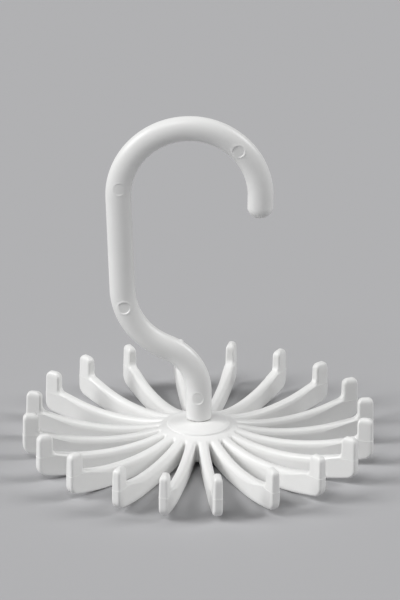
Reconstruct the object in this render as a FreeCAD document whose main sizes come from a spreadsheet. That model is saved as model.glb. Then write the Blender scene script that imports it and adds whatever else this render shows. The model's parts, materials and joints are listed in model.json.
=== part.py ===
"""Tie hanger: a wheel of upturned claws under a hook that swivels in the wheel's hub.

Frame: origin on the swivel axis at the level of the claws' feet, +Z up.
The hook lies in the XZ plane, and its mouth opens towards +X.
"""

import FreeCAD, Part
import math
import os

import Sketcher

Vector = FreeCAD.Vector

# Driving dimensions, in millimetres and degrees.

DIMENSIONS = [
    ("wheel_diameter", "125", "across the outer faces of opposite claws"),
    ("claw_count", "20", "claws round the hub"),
    ("claw_start_angle", "7.05", "angle of the first claw from +X"),
    ("claw_width", "3.5", "width of an arm and of its post"),
    ("claw_edge_radius", "0.9", "rounding along both sides of a claw"),
    ("post_rise", "5.4", "top of a post above the middle of its notch's rounding"),
    ("post_depth", "5.7", "post from its inner to its outer face"),
    ("post_corner_radius", "1.7", "corners at the top of a post, seen from the side"),
    ("notch_radius", "2.2", "inner corner between arm and post, where a tie is held"),
    ("heel_radius", "3", "outer lower corner of a claw"),
    ("arm_low_reach", "33", "lowest point of an arm's upper edge, from the axis"),
    ("arm_low_height", "7.2", "height of that point above the feet"),
    ("arm_upper_radius", "90", "curve of an arm's upper edge"),
    ("arm_lower_radius", "106", "curve of an arm's lower edge on both sides of its foot"),
    ("foot_reach", "36", "middle of the flat foot under an arm, from the axis"),
    ("foot_length", "6", "length of that foot along the arm"),
    ("root_web", "0.6", "rim left outside the circle where the arms' sides would meet"),
    ("rim_wall", "2.2", "wall of the hub's rim"),
    ("rim_height", "10.7", "top of the rim above the feet"),
    ("rim_bottom", "2.8", "bottom of the rim above the feet"),
    ("rim_edge_radius", "0.4", "rounding of the rim's upper edge"),
    ("dome_rise", "1.9", "flat land in the middle of the hub above its rim"),
    ("dome_radius", "29", "curve of the hub's domed top"),
    ("land_radius", "5.1", "flat land that the stem turns on"),
    ("roof_thickness", "2.4", "wall under the hub's domed top"),
    ("boss_wall", "2.6", "wall round the swivel bore"),
    ("boss_bottom", "5.2", "lower end of the swivel bore above the feet"),
    ("peg_diameter", "6", "swivel peg under the stem"),
    ("peg_clearance", "0.05", "radial running clearance of the peg in its bore"),
    ("swivel_play", "0.3", "gap over the land and under the bore that lets the hook turn"),
    ("snap_diameter", "8", "barbed head that holds the peg in the bore"),
    ("snap_lip", "0.7", "straight edge of the barbed head"),
    ("snap_length", "2.6", "barbed head along the peg"),
    ("snap_nose_diameter", "5", "end of the barbed head"),
    ("snap_slot", "1.4", "slot that lets the barbed head squeeze through the bore"),
    ("snap_slot_depth", "7", "slot along the peg, from its end"),
    ("rod_width", "9", "hook rod across, in the plane of the hook"),
    ("rod_thickness", "6.6", "hook rod across, square to the plane of the hook"),
    ("stem_top", "23.2", "top of the hook's straight stem above the feet"),
    ("sway_radius", "18.4", "bend from the stem out to the side"),
    ("sway_turn", "68.3", "angle of that bend"),
    ("elbow_radius", "24.4", "bend from there up into the leg"),
    ("leg_lean", "2.35", "lean of the leg from upright"),
    ("leg_length", "33.9", "straight leg"),
    ("crown_radius", "24.65", "crown of the hook, at the middle of the rod"),
    ("crown_turn", "191", "angle of the crown, from the leg to the tip"),
    ("tip_length", "3.3", "rounded end of the hook beyond its crown"),
    ("mark_diameter", "3.7", "round ejector marks on the front of the hook"),
    ("mark_depth", "0.25", "depth of those marks"),
]

# Where the ejector marks lie: the run of the rod, and the share of that run from its lower end.
MARK_PLACE_SHARES = [("stem", 0.82), ("elbow", 0.79), ("crown", 0.055), ("crown", 0.705)]

doc = FreeCAD.newDocument("tie_hanger")
sheet = doc.addObject("Spreadsheet::Sheet", "sizes")
for row, (alias, value, meaning) in enumerate(DIMENSIONS, start=1):
    sheet.set(f"A{row}", meaning)
    sheet.set(f"B{row}", value)
    sheet.setAlias(f"B{row}", alias)
doc.recompute()
size = {alias: float(sheet.get(alias)) for alias, value, meaning in DIMENSIONS}

# Sizes that follow from them, with the expression that keeps each one bound to the sheet.

claw_total = int(size["claw_count"])
claw_pitch = 360 / claw_total
wheel_radius = size["wheel_diameter"] / 2
post_inner = wheel_radius - size["post_depth"]
notch_reach = post_inner - size["notch_radius"]
notch_out = notch_reach - size["arm_low_reach"]
notch_swing = size["arm_upper_radius"] - size["notch_radius"]
arm_centre_height = size["arm_low_height"] + size["arm_upper_radius"]
notch_height = arm_centre_height - math.sqrt(notch_swing ** 2 - notch_out ** 2)
tip_height = notch_height + size["post_rise"]
hub_radius = size["claw_width"] / 2 / math.sin(math.radians(claw_pitch / 2)) + size["root_web"]
hub_inner = hub_radius - size["rim_wall"]
bore_radius = size["peg_diameter"] / 2 + size["peg_clearance"]
boss_radius = bore_radius + size["boss_wall"]
land_height = size["rim_height"] + size["dome_rise"]
stem_bottom = land_height + size["swivel_play"]
head_top = size["boss_bottom"] - size["swivel_play"]
head_bottom = head_top - size["snap_length"]

HUB_RADIUS = "(sizes.claw_width / 2 / sin(180 deg / sizes.claw_count) + sizes.root_web)"
HUB_INNER = f"({HUB_RADIUS} - sizes.rim_wall)"
BORE_RADIUS = "(sizes.peg_diameter / 2 + sizes.peg_clearance)"
BOSS_RADIUS = f"({BORE_RADIUS} + sizes.boss_wall)"
LAND_HEIGHT = "(sizes.rim_height + sizes.dome_rise)"
STEM_BOTTOM = f"({LAND_HEIGHT} + sizes.swivel_play)"
HEAD_TOP = "(sizes.boss_bottom - sizes.swivel_play)"
HEAD_BOTTOM = f"({HEAD_TOP} - sizes.snap_length)"

# How a sketch numbers its two axes and the points of a line or an arc. Its origin starts both axes.
ACROSS_AXIS, UP_AXIS = range(-1, -3, -1)
START, END, CENTRE = range(1, 4)
ORIGIN_POINT = (ACROSS_AXIS, START)

# Two heights or radii that differ by less than this are the same.
SAME = 1e-6


# Helpers for bodies and sketches.

def new_body(name):
    body = doc.addObject("PartDesign::Body", name)
    body.Label = name
    return body


def new_sketch(body, name, role):
    """A sketch on one of the body's own origin planes."""
    sketch = body.newObject("Sketcher::SketchObject", name)
    plane = next(feature for feature in body.Origin.OriginFeatures if feature.Role == role)
    sketch.AttachmentSupport = [(plane, "")]
    sketch.MapMode = "FlatFace"
    return sketch


def bind(sketch, name, expression, *constraint):
    """Adds a dimension to a sketch and binds it to the sheet."""
    number = sketch.addConstraint(Sketcher.Constraint(*constraint))
    sketch.renameConstraint(number, name)
    sketch.setExpression(f"Constraints.{name}", expression)


def draw_corners(sketch, corners):
    """Draws a closed outline of straight lines. A corner is (name, x, y, x expression, y expression)."""
    points = [Vector(corner[1], corner[2], 0) for corner in corners]
    last = len(points) - 1
    for index, point in enumerate(points):
        following = points[0 if index == last else index + 1]
        sketch.addGeometry(Part.LineSegment(point, following))
    for index in range(len(points)):
        following = 0 if index == last else index + 1
        sketch.addConstraint(Sketcher.Constraint("Coincident", index, END, following, START))
    for index, (name, x, y, x_bound, y_bound) in enumerate(corners):
        place_point(sketch, name, index, START, x, y, x_bound, y_bound)


def place_point(sketch, name, geometry, end, x, y, x_bound, y_bound):
    """Fixes one point of a sketch by its distances from the origin."""
    if x == 0:
        sketch.addConstraint(Sketcher.Constraint("PointOnObject", geometry, end, UP_AXIS))
    else:
        bind(sketch, f"{name}_across", x_bound, "DistanceX", *ORIGIN_POINT, geometry, end, x)
    if y == 0:
        sketch.addConstraint(Sketcher.Constraint("PointOnObject", geometry, end, ACROSS_AXIS))
    else:
        bind(sketch, f"{name}_up", y_bound, "DistanceY", *ORIGIN_POINT, geometry, end, y)


def arc_between(centre, radius, start, end):
    """The arc from start to end, counterclockwise about its centre."""
    circle = Part.Circle(centre, Vector(0, 0, 1), radius)
    return Part.ArcOfCircle(circle, circle.parameter(start), circle.parameter(end))


# Hub: a domed cap with a rim wall outside and a boss round the swivel bore, hollow underneath.

def make_hub():
    body = new_body("hub")
    sketch = new_sketch(body, "hub_profile", "XZ_Plane")
    rim = Vector(hub_radius, size["rim_height"], 0)
    land = Vector(size["land_radius"], land_height, 0)
    corners = [
        ("rim", rim.x, rim.y, HUB_RADIUS, "sizes.rim_height"),
        ("rim_foot", hub_radius, size["rim_bottom"], HUB_RADIUS, "sizes.rim_bottom"),
        ("wall_foot", hub_inner, size["rim_bottom"], HUB_INNER, "sizes.rim_bottom"),
        ("wall_top", hub_inner, size["rim_height"] - size["roof_thickness"], HUB_INNER,
         "sizes.rim_height - sizes.roof_thickness"),
        ("boss_top", boss_radius, land_height - size["roof_thickness"], BOSS_RADIUS,
         f"{LAND_HEIGHT} - sizes.roof_thickness"),
        ("boss_foot", boss_radius, size["boss_bottom"], BOSS_RADIUS, "sizes.boss_bottom"),
        ("bore_foot", bore_radius, size["boss_bottom"], BORE_RADIUS, "sizes.boss_bottom"),
        ("bore_top", bore_radius, land_height, BORE_RADIUS, LAND_HEIGHT),
        ("land", land.x, land.y, "sizes.land_radius", LAND_HEIGHT),
    ]
    draw_corners(sketch, corners)

    # The last straight line, from the land back to the rim, gives way to the dome's arc.
    closing = len(corners) - 1
    sketch.toggleConstruction(closing)
    chord = land - rim
    outward = Vector(chord.y, -chord.x, 0).normalize()
    drop = math.sqrt(size["dome_radius"] ** 2 - (chord.Length / 2) ** 2)
    dome_centre = (rim + land) / 2 - outward * drop
    dome = sketch.addGeometry(arc_between(dome_centre, size["dome_radius"], rim, land))
    sketch.addConstraint(Sketcher.Constraint("Coincident", dome, START, 0, START))
    sketch.addConstraint(Sketcher.Constraint("Coincident", dome, END, closing, START))
    bind(sketch, "dome_radius", "sizes.dome_radius", "Radius", dome, size["dome_radius"])

    turned = body.newObject("PartDesign::Revolution", "hub_turned")
    turned.Profile = sketch
    turned.ReferenceAxis = (sketch, ["V_Axis"])
    doc.recompute()

    circles = [(f"Edge{number}", edge) for number, edge in enumerate(turned.Shape.Edges, start=1)
               if isinstance(edge.Curve, Part.Circle)]
    rim_edge = [name for name, edge in circles
                if abs(edge.Curve.Center.z - rim.y) < SAME and abs(edge.Curve.Radius - rim.x) < SAME]
    rounded = body.newObject("PartDesign::Fillet", "hub_rim_rounded")
    rounded.Base = (turned, rim_edge)
    rounded.setExpression("Radius", "sizes.rim_edge_radius")
    return body


# Claws: an arm that dips between hub and rim, rests on a flat foot and ends in an upright post.

def claw_outline():
    """Side view of a claw as (name, geometry) pairs, tangent to each other except at the root."""
    low_x = size["arm_low_reach"]
    upper, lower = size["arm_upper_radius"], size["arm_lower_radius"]
    notch, corner, heel = size["notch_radius"], size["post_corner_radius"], size["heel_radius"]
    foot_in = size["foot_reach"] - size["foot_length"] / 2
    foot_out = size["foot_reach"] + size["foot_length"] / 2
    root = hub_inner

    upper_centre = Vector(low_x, arm_centre_height, 0)
    root_top = Vector(root, upper_centre.y - math.sqrt(upper ** 2 - (root - low_x) ** 2), 0)
    notch_centre = Vector(notch_reach, notch_height, 0)
    notch_start = upper_centre + (notch_centre - upper_centre).normalize() * upper
    notch_end = Vector(post_inner, notch_centre.y, 0)

    inner_corner = Vector(post_inner + corner, tip_height - corner, 0)
    outer_corner = Vector(wheel_radius - corner, tip_height - corner, 0)

    outer_centre = Vector(foot_out, lower, 0)
    heel_x = wheel_radius - heel
    reach = lower - heel
    heel_centre = Vector(heel_x, outer_centre.y - math.sqrt(reach ** 2 - (heel_x - foot_out) ** 2), 0)
    heel_start = Vector(wheel_radius, heel_centre.y, 0)
    heel_end = outer_centre + (heel_centre - outer_centre).normalize() * lower
    inner_centre = Vector(foot_in, lower, 0)
    root_foot = Vector(root, lower - math.sqrt(lower ** 2 - (root - foot_in) ** 2), 0)

    left, right, up = Vector(-corner, 0, 0), Vector(corner, 0, 0), Vector(0, corner, 0)
    return [
        ("root", Part.LineSegment(root_foot, root_top)),
        ("upper", arc_between(upper_centre, upper, root_top, notch_start)),
        ("notch", arc_between(notch_centre, notch, notch_start, notch_end)),
        ("post_inner", Part.LineSegment(notch_end, inner_corner + left)),
        ("inner_corner", arc_between(inner_corner, corner, inner_corner + up, inner_corner + left)),
        ("post_top", Part.LineSegment(inner_corner + up, outer_corner + up)),
        ("outer_corner", arc_between(outer_corner, corner, outer_corner + right, outer_corner + up)),
        ("post_outer", Part.LineSegment(outer_corner + right, heel_start)),
        ("heel", arc_between(heel_centre, heel, heel_end, heel_start)),
        ("outer_belly", arc_between(outer_centre, lower, Vector(foot_out, 0, 0), heel_end)),
        ("foot", Part.LineSegment(Vector(foot_out, 0, 0), Vector(foot_in, 0, 0))),
        ("inner_belly", arc_between(inner_centre, lower, root_foot, Vector(foot_in, 0, 0))),
    ]


def draw_claw(sketch):
    outline = claw_outline()
    number = {name: sketch.addGeometry(geometry) for name, geometry in outline}

    # Each joint names the end that the outline leaves by and the end that it goes on from.
    joints = [
        ("Coincident", "root", END, "upper", START),
        ("Tangent", "upper", END, "notch", START),
        ("Tangent", "notch", END, "post_inner", START),
        ("Tangent", "post_inner", END, "inner_corner", END),
        ("Tangent", "inner_corner", START, "post_top", START),
        ("Tangent", "post_top", END, "outer_corner", END),
        ("Tangent", "outer_corner", START, "post_outer", START),
        ("Tangent", "post_outer", END, "heel", END),
        ("Tangent", "heel", START, "outer_belly", END),
        ("Tangent", "outer_belly", START, "foot", START),
        ("Tangent", "foot", END, "inner_belly", END),
        ("Coincident", "inner_belly", START, "root", START),
    ]
    for kind, first, first_end, second, second_end in joints:
        sketch.addConstraint(Sketcher.Constraint(kind, number[first], first_end, number[second], second_end))
    for upright in ("root", "post_inner", "post_outer"):
        sketch.addConstraint(Sketcher.Constraint("Vertical", number[upright]))
    sketch.addConstraint(Sketcher.Constraint("Horizontal", number["post_top"]))

    radii = [
        ("upper", "arm_upper_radius"),
        ("notch", "notch_radius"),
        ("inner_corner", "post_corner_radius"),
        ("outer_corner", "post_corner_radius"),
        ("heel", "heel_radius"),
        ("outer_belly", "arm_lower_radius"),
        ("inner_belly", "arm_lower_radius"),
    ]
    for name, alias in radii:
        bind(sketch, f"{name}_radius", f"sizes.{alias}", "Radius", number[name], size[alias])

    half_foot = size["foot_length"] / 2
    places = [
        ("root_across", HUB_INNER, "DistanceX", "root", START, hub_inner),
        ("low_across", "sizes.arm_low_reach", "DistanceX", "upper", CENTRE, size["arm_low_reach"]),
        ("low_up", "sizes.arm_low_height + sizes.arm_upper_radius", "DistanceY", "upper", CENTRE,
         arm_centre_height),
        ("inner_across", "sizes.wheel_diameter / 2 - sizes.post_depth", "DistanceX", "post_inner", START,
         post_inner),
        ("outer_across", "sizes.wheel_diameter / 2", "DistanceX", "post_outer", START, wheel_radius),
        ("foot_outer", "sizes.foot_reach + sizes.foot_length / 2", "DistanceX", "foot", START,
         size["foot_reach"] + half_foot),
        ("foot_inner", "sizes.foot_reach - sizes.foot_length / 2", "DistanceX", "foot", END,
         size["foot_reach"] - half_foot),
    ]
    for name, expression, kind, geometry, end, value in places:
        bind(sketch, name, expression, kind, *ORIGIN_POINT, number[geometry], end, value)
    bind(sketch, "post_rise", "sizes.post_rise", "DistanceY", number["notch"], CENTRE,
         number["post_top"], START, size["post_rise"])
    sketch.addConstraint(Sketcher.Constraint("PointOnObject", number["foot"], START, ACROSS_AXIS))
    sketch.addConstraint(Sketcher.Constraint("PointOnObject", number["foot"], END, ACROSS_AXIS))


def make_claw(number):
    name = f"claw_{number:02d}"
    body = new_body(name)
    outline = new_sketch(body, f"{name}_outline", "XZ_Plane")
    draw_claw(outline)
    plate = body.newObject("PartDesign::Pad", f"{name}_plate")
    plate.Profile = outline
    plate.Midplane = True
    plate.setExpression("Length", "sizes.claw_width")
    doc.recompute()

    # One long edge on each side carries the rounding, which runs on round the whole outline.
    half = size["claw_width"] / 2
    sides = [f"Edge{index}" for index, edge in enumerate(plate.Shape.Edges, start=1)
             if edge.BoundBox.ZMin > tip_height - SAME and abs(abs(edge.CenterOfMass.y) - half) < SAME]
    rounded = body.newObject("PartDesign::Fillet", f"{name}_rounded")
    rounded.Base = (plate, sides)
    rounded.setExpression("Radius", "sizes.claw_edge_radius")

    # The root is cut to the round of the hub, so that the two meet face to face.
    circle = new_sketch(body, f"{name}_root", "XY_Plane")
    circle.addGeometry(Part.Circle(Vector(), Vector(0, 0, 1), hub_radius))
    circle.addConstraint(Sketcher.Constraint("Coincident", 0, CENTRE, *ORIGIN_POINT))
    bind(circle, "hub_radius", HUB_RADIUS, "Radius", 0, hub_radius)
    seat = body.newObject("PartDesign::Pocket", f"{name}_seat")
    seat.Profile = circle
    seat.Type = "ThroughAll"
    seat.Midplane = True

    turn = FreeCAD.Rotation(Vector(0, 0, 1), size["claw_start_angle"] + (number - 1) * claw_pitch)
    body.Placement = FreeCAD.Placement(Vector(), turn)
    return body


# Hook: an oval rod bent from the stem to the tip, with a peg and a barbed head moulded under the stem.

def rod_runs():
    """The rod's centre line: each run by name, as a function from a share of it to (point, direction)."""
    point = Vector(0, 0, stem_bottom)
    heading = math.pi / 2
    runs = {}

    def unit(angle):
        return Vector(math.cos(angle), 0, math.sin(angle))

    def straight(name, length):
        nonlocal point
        start, along = point, unit(heading)
        runs[name] = lambda share: (start + along * (length * share), along)
        point = runs[name](1)[0]

    def bend(name, radius, turn):
        nonlocal point, heading
        first = heading
        side = math.copysign(math.pi / 2, turn)
        centre = point + unit(first + side) * radius

        def place(share):
            angle = first + turn * share
            return centre - unit(angle + side) * radius, unit(angle)

        runs[name] = place
        point = place(1)[0]
        heading += turn

    sway = math.radians(size["sway_turn"])
    lean = math.radians(size["leg_lean"])
    straight("stem", size["stem_top"] - stem_bottom)
    bend("sway", size["sway_radius"], sway)
    bend("elbow", size["elbow_radius"], lean - sway)
    straight("leg", size["leg_length"])
    bend("crown", size["crown_radius"], -math.radians(size["crown_turn"]))
    return runs


def flat(point):
    """A point of the XZ plane as a sketch on that plane sees it."""
    return Vector(point.x, point.z, 0)


def draw_path(sketch, runs):
    """The rod's centre line, bound to the sheet run by run."""
    number = {}
    for name, run in runs.items():
        start, middle, end = (flat(run(share)[0]) for share in (0, 0.5, 1))
        straight = name in ("stem", "leg")
        geometry = Part.LineSegment(start, end) if straight else Part.Arc(start, middle, end)
        number[name] = sketch.addGeometry(geometry)

    # Arcs run counterclockwise, so the ones that bend to the right are entered at their far end.
    joints = [("stem", END, "sway", START), ("sway", END, "elbow", END), ("elbow", START, "leg", START),
              ("leg", END, "crown", END)]
    for first, first_end, second, second_end in joints:
        sketch.addConstraint(
            Sketcher.Constraint("Tangent", number[first], first_end, number[second], second_end))
    sketch.addConstraint(Sketcher.Constraint("Vertical", number["stem"]))
    sketch.addConstraint(Sketcher.Constraint("PointOnObject", number["stem"], START, UP_AXIS))
    heights = [
        ("stem_bottom", STEM_BOTTOM, START, stem_bottom),
        ("stem_top", "sizes.stem_top", END, size["stem_top"]),
    ]
    for name, expression, end, height in heights:
        bind(sketch, name, expression, "DistanceY", *ORIGIN_POINT, number["stem"], end, height)
    for name in ("sway", "elbow", "crown"):
        bind(sketch, f"{name}_radius", f"sizes.{name}_radius", "Radius", number[name], size[f"{name}_radius"])
    turns = [
        ("sway", "sizes.sway_turn", size["sway_turn"]),
        ("elbow", "(sizes.sway_turn - sizes.leg_lean)", size["sway_turn"] - size["leg_lean"]),
        ("crown", "sizes.crown_turn", size["crown_turn"]),
    ]
    for name, expression, degrees in turns:
        bind(sketch, f"{name}_turn", f"{expression} * 1 deg", "Angle", number[name], math.radians(degrees))
    bind(sketch, "leg_length", "sizes.leg_length", "Distance", number["leg"], size["leg_length"])


def make_hook():
    body = new_body("hook")
    runs = rod_runs()
    path = new_sketch(body, "hook_path", "XZ_Plane")
    draw_path(path, runs)

    section = new_sketch(body, "hook_section", "XY_Plane")
    section.AttachmentOffset = FreeCAD.Placement(Vector(0, 0, stem_bottom), FreeCAD.Rotation())
    section.setExpression("AttachmentOffset.Base.z", STEM_BOTTOM)
    across, through = size["rod_width"] / 2, size["rod_thickness"] / 2
    oval = section.addGeometry(Part.Ellipse(Vector(across, 0, 0), Vector(0, through, 0), Vector()))
    section.exposeInternalGeometry(oval)
    long_axis, short_axis = oval + 1, oval + 2
    section.addConstraint(Sketcher.Constraint("Coincident", oval, CENTRE, *ORIGIN_POINT))
    section.addConstraint(Sketcher.Constraint("Horizontal", long_axis))
    bind(section, "rod_width", "sizes.rod_width", "Distance", long_axis, size["rod_width"])
    bind(section, "rod_thickness", "sizes.rod_thickness", "Distance", short_axis, size["rod_thickness"])

    rod = body.newObject("PartDesign::AdditivePipe", "hook_rod")
    rod.Profile = section
    rod.Spine = (path, [])
    doc.recompute()

    # The tip is half of an ellipsoid, set into the end of the rod.
    end, along = runs["crown"](1)
    tip = body.newObject("PartDesign::AdditiveEllipsoid", "hook_tip")
    tip.setExpression("Radius1", "sizes.tip_length")
    tip.setExpression("Radius2", "sizes.rod_width / 2")
    tip.setExpression("Radius3", "sizes.rod_thickness / 2")
    turn = FreeCAD.Rotation(Vector(along.z, 0, -along.x), Vector(0, 1, 0), along, "ZXY")
    tip.Placement = FreeCAD.Placement(end, turn)
    doc.recompute()

    # Peg and barbed head, turned in one piece.
    peg_profile = new_sketch(body, "peg_profile", "XZ_Plane")
    peg_radius = size["peg_diameter"] / 2
    head_radius = size["snap_diameter"] / 2
    nose_radius = size["snap_nose_diameter"] / 2
    lip_bottom = head_top - size["snap_lip"]
    draw_corners(peg_profile, [
        ("end", 0, head_bottom, "0", HEAD_BOTTOM),
        ("nose", nose_radius, head_bottom, "sizes.snap_nose_diameter / 2", HEAD_BOTTOM),
        ("lip_foot", head_radius, lip_bottom, "sizes.snap_diameter / 2", f"{HEAD_TOP} - sizes.snap_lip"),
        ("lip", head_radius, head_top, "sizes.snap_diameter / 2", HEAD_TOP),
        ("peg_foot", peg_radius, head_top, "sizes.peg_diameter / 2", HEAD_TOP),
        ("peg_top", peg_radius, size["stem_top"], "sizes.peg_diameter / 2", "sizes.stem_top"),
        ("middle", 0, size["stem_top"], "0", "sizes.stem_top"),
    ])
    peg = body.newObject("PartDesign::Revolution", "hook_peg")
    peg.Profile = peg_profile
    peg.ReferenceAxis = (peg_profile, ["V_Axis"])
    doc.recompute()

    # The slot through the peg lets its barbs close as they are pushed through the bore.
    slot_profile = new_sketch(body, "slot_profile", "XZ_Plane")
    half_slot = size["snap_slot"] / 2
    slot_top = head_bottom + size["snap_slot_depth"]
    top_bound = f"{HEAD_BOTTOM} + sizes.snap_slot_depth"
    draw_corners(slot_profile, [
        ("low_left", -half_slot, head_bottom, "-sizes.snap_slot / 2", HEAD_BOTTOM),
        ("low_right", half_slot, head_bottom, "sizes.snap_slot / 2", HEAD_BOTTOM),
        ("top_right", half_slot, slot_top, "sizes.snap_slot / 2", top_bound),
        ("top_left", -half_slot, slot_top, "-sizes.snap_slot / 2", top_bound),
    ])
    slot = body.newObject("PartDesign::Pocket", "hook_slot")
    slot.Profile = slot_profile
    slot.Type = "ThroughAll"
    slot.Midplane = True
    doc.recompute()

    # Round marks that the ejector pins leave on the front of the rod.
    marks = new_sketch(body, "mark_circles", "XZ_Plane")
    marks.AttachmentOffset = FreeCAD.Placement(Vector(0, 0, through), FreeCAD.Rotation())
    marks.setExpression("AttachmentOffset.Base.z", "sizes.rod_thickness / 2")
    for index, (name, share) in enumerate(MARK_PLACE_SHARES):
        centre = flat(runs[name](share)[0])
        circle = marks.addGeometry(Part.Circle(centre, Vector(0, 0, 1), size["mark_diameter"] / 2))
        bind(marks, f"mark_{index}", "sizes.mark_diameter", "Diameter", circle, size["mark_diameter"])
    sunk = body.newObject("PartDesign::Pocket", "hook_marks")
    sunk.Profile = marks
    sunk.setExpression("Length", "sizes.mark_depth")
    return body


pieces = [make_hub(), make_hook()] + [make_claw(number) for number in range(1, claw_total + 1)]
doc.recompute()

# Nothing is written unless every object was built and every piece is one sound solid.

for thing in doc.Objects:
    if "Invalid" in thing.State or "Error" in thing.State:
        raise RuntimeError(f"{thing.Name} was not built: {thing.State}")
for piece in pieces:
    if piece.Shape.isNull() or not piece.Shape.isValid() or len(piece.Shape.Solids) != 1:
        raise RuntimeError(f"{piece.Label} is not one sound solid")

os.makedirs("parts", exist_ok=True)
for piece in pieces:
    piece.Shape.exportStep(f"parts/{piece.Label}.step")
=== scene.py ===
import json
import math

import bmesh
import bpy
from mathutils import Matrix, Vector


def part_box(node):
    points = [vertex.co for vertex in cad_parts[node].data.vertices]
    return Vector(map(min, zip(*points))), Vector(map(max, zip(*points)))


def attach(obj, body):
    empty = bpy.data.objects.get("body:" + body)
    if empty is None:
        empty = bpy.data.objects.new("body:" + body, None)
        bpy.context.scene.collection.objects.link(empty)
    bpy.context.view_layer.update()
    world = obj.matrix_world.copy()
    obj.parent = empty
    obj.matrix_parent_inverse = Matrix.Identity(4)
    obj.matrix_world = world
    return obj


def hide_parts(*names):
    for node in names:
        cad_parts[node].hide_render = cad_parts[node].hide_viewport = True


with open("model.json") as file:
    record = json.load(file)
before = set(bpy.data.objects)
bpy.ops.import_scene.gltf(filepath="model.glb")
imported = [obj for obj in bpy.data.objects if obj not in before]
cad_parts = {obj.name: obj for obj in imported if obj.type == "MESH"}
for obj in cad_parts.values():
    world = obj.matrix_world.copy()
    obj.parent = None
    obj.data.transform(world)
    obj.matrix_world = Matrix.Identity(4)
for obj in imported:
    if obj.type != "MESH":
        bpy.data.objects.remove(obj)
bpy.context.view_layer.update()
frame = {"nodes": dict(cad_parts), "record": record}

# Claw: an arm that sweeps down from the hub and up to a notch and an upright post with a rounded top.
# White polypropylene, moulded in two halves that meet just under the arm's top edges and straight
# across the post, where the upper half stands back by a hair and leaves a fine step.
MM = 0.001
CLAWS = sorted(name for name in frame["nodes"] if name.startswith("claw_"))
CLAW_STEP = math.tau / len(CLAWS)
POST_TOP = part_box(CLAWS[0])[1][2] / MM
POST_OUTER = 62.35
POST_DEPTH = 5.6
POST_INNER = POST_OUTER - POST_DEPTH
POST_CORNER = 2.1
POST_RISE = 5.4
CAP_ACROSS = 1.45
CAP_MIDDLE_SHARE = 0.5
CLAW_HALF = 1.75
TOP_LOW_REACH = 33.0
TOP_LOW_HEIGHT = 7.2
TOP_ROOT_RADIUS = 69.0
TOP_RADIUS = 90.0
TOP_CENTRE = Vector((TOP_LOW_REACH, TOP_LOW_HEIGHT + TOP_RADIUS))
NOTCH_RADIUS = 2.2
NOTCH_CENTRE = Vector((POST_INNER - NOTCH_RADIUS, POST_TOP - POST_RISE))
BELLY_ROOT_RADIUS = 106.0
BELLY_RADIUS = 95.0
FOOT_START = 33.0
FOOT_END = 39.0
HEEL_RADIUS = 3.6
PARTING_HEIGHT = 9.4
PARTING_WIDTH = 0.06
FIN_PROUD = 0.055
FIN_HALF = 0.03
FIN_CLEAR = 0.06
LOWER_DRAFT = 0.012
UPPER_DRAFT = 0.025
OUTER_DRAFT = 0.0125
# an edge's rounding: how far across, how deep, how far it turns, and the step it leaves in the wall
ROOT_EDGE = Vector((1.1, 1.1, math.radians(80), 0.02))
ARM_EDGE = Vector((1.35, 1.6, math.radians(84), 0.02))
NOTCH_EDGE = Vector((0.95, 0.6, math.radians(62), 0.07))
POST_EDGE = Vector((0.7, 0.65, math.radians(62), 0.07))
LOW_EDGE = Vector((0.9, 0.9, math.radians(90), 0.0))
ROOT_FADE = (14.0, 20.0)
NOTCH_FADE = (45.0, 53.0)
NOTCH_CORNER = 0.5
FAN_START = 51.0
CROTCH_RADIUS = 0.55
# how finely a claw is divided: across its strips and down its walls, then along it from root to post
STRIP_STEPS = 3
TOP_STEPS = 5
LOW_STEPS = 6
WALL_SHARES = (0.17, 0.35, 0.53, 0.71, 0.87)
ROOT_STEPS = 6
ARM_STEPS = 22
BELLY_STEPS = 4
HEEL_STEPS = 6
OUTER_STEPS = 3
NOTCH_CORNER_STEPS = 5
POST_STEPS = 4
CAP_STEPS = 7


def spread(first, last, steps):
    """Evenly spaced values from first to last, both included."""
    return [first + (last - first) * i / steps for i in range(steps + 1)]


def on_circle(centre, radius, angle):
    """A point of a circle in a side view, and the direction from the centre to it."""
    outward = Vector((math.cos(angle), math.sin(angle)))
    return centre + radius * outward, outward


def top_side(reach):
    """The arm's upper outline at a reach from the axis: the point, and the way out of the plastic."""
    radius = TOP_ROOT_RADIUS if reach < TOP_LOW_REACH else TOP_RADIUS
    centre = Vector((TOP_LOW_REACH, TOP_LOW_HEIGHT + radius))
    point = Vector((reach, centre.y - math.sqrt(radius**2 - (reach - centre.x) ** 2)))
    return point, (centre - point) / radius


def belly_side(reach):
    """The arm's lower outline: two long arcs with the flat foot between them."""
    radius = BELLY_ROOT_RADIUS if reach < FOOT_START else BELLY_RADIUS
    centre = Vector((min(max(reach, FOOT_START), FOOT_END), radius))
    point = Vector((reach, radius - math.sqrt(radius**2 - (reach - centre.x) ** 2)))
    return point, (point - centre) / radius


def outer_side(height):
    """The post's outer face, which stands back above the parting line."""
    lift = height - PARTING_HEIGHT
    back = POST_EDGE.w + OUTER_DRAFT * lift if lift > 0 else 0.0
    return Vector((POST_OUTER - back, height)), Vector((1, 0))


def arm_edge(reach):
    """The rounding of the arm's top edges: softest in mid arm, crisp towards the notch."""
    from_root = min(max((reach - ROOT_FADE[0]) / (ROOT_FADE[1] - ROOT_FADE[0]), 0), 1)
    to_notch = min(max((reach - NOTCH_FADE[0]) / (NOTCH_FADE[1] - NOTCH_FADE[0]), 0), 1)
    return ROOT_EDGE.lerp(ARM_EDGE, from_root).lerp(NOTCH_EDGE, to_notch)


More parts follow.
